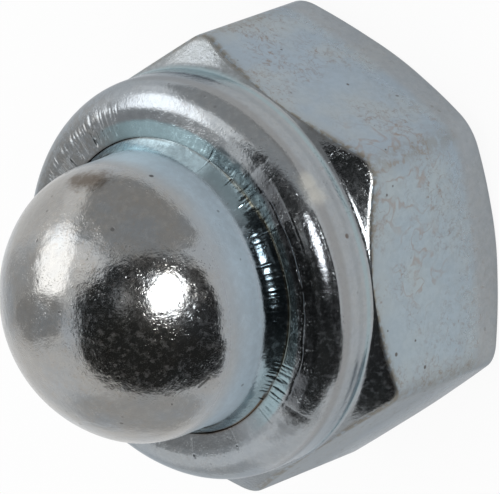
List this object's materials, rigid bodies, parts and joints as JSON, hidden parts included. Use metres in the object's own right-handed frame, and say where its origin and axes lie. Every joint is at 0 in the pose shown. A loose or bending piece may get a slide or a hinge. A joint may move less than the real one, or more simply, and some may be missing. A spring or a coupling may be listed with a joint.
{
  "type": "self-locking domed cap nut",
  "caption": "Self-locking domed cap nut: chamfered hexagon with a round collar, its lip rolled over the foot of a drawn sheet dome that covers the bolt's end.",
  "frame": {"origin": "centre of the bearing face, on the thread's axis", "axes": "+Z along the thread's axis from the bearing face towards the dome; two of the flats face +X and -X"},
  "size_m": [0.017, 0.0194, 0.018],
  "materials": {
    "satin_zinc_plate": "pale blue-grey zinc plate, satin, mottled and lightly pitted",
    "bright_zinc_plate": "bright zinc plate over drawn sheet, glossy with a fine grain",
    "white_nylon": "natural white nylon, matt"
  },
  "bodies": {
    "root": {"nut_body": "satin_zinc_plate", "dome_cap": "bright_zinc_plate", "locking_ring": "white_nylon"}
  },
  "joints": []
}
